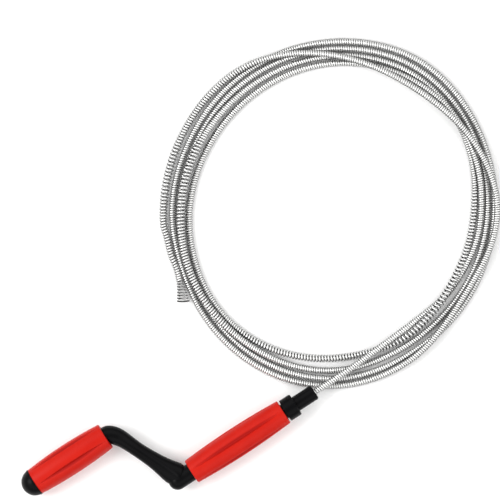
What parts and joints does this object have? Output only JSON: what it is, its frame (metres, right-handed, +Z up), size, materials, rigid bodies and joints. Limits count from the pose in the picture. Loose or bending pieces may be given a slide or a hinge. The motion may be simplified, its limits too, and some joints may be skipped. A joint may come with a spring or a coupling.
{
  "type": "drain auger",
  "caption": "Hand drain auger: an S-shaped crank with turning barrel grips drives a long coiled spring cable that ends in a flared open spring head.",
  "frame": {"origin": "bottom centre of the box round the handle (crank, grips, collar and cap, without the cable), on the surface that it lies on", "axes": "+X along the body grip towards the nose, +Y from the body grip towards the crank grip, +Z up from the surface that it lies on"},
  "size_m": [0.5821, 0.3397, 0.0316],
  "materials": {
    "red_plastic": "satin moulded red plastic",
    "black_plastic": "semi-gloss moulded black plastic",
    "spring_steel": "bright zinc-plated spring wire",
    "fastener_steel": "zinc-plated steel"
  },
  "bodies": {
    "crank": {"crank_arm": "black_plastic", "retaining_washer": "fastener_steel", "retaining_screw": "fastener_steel", "front_collar": "black_plastic", "collar_set_screw": "fastener_steel", "cable_lead": "spring_steel", "cable_coil": "spring_steel", "cable_tail": "spring_steel", "spring_head": "spring_steel"},
    "body_grip": {"body_grip": "red_plastic"},
    "crank_grip": {"crank_grip": "red_plastic", "grip_end_cap": "black_plastic"}
  },
  "joints": [
    {"name": "body_grip_spin", "type": "hinge", "parent": "crank", "child": "body_grip", "pos_m": [0.05675, -0.03893, 0.0158], "axis": [1, 0, 0], "continuous": true},
    {"name": "crank_grip_spin", "type": "hinge", "parent": "crank", "child": "crank_grip", "pos_m": [-0.09305, 0.03787, 0.0158], "axis": [1, 0, 0], "continuous": true}
  ]
}
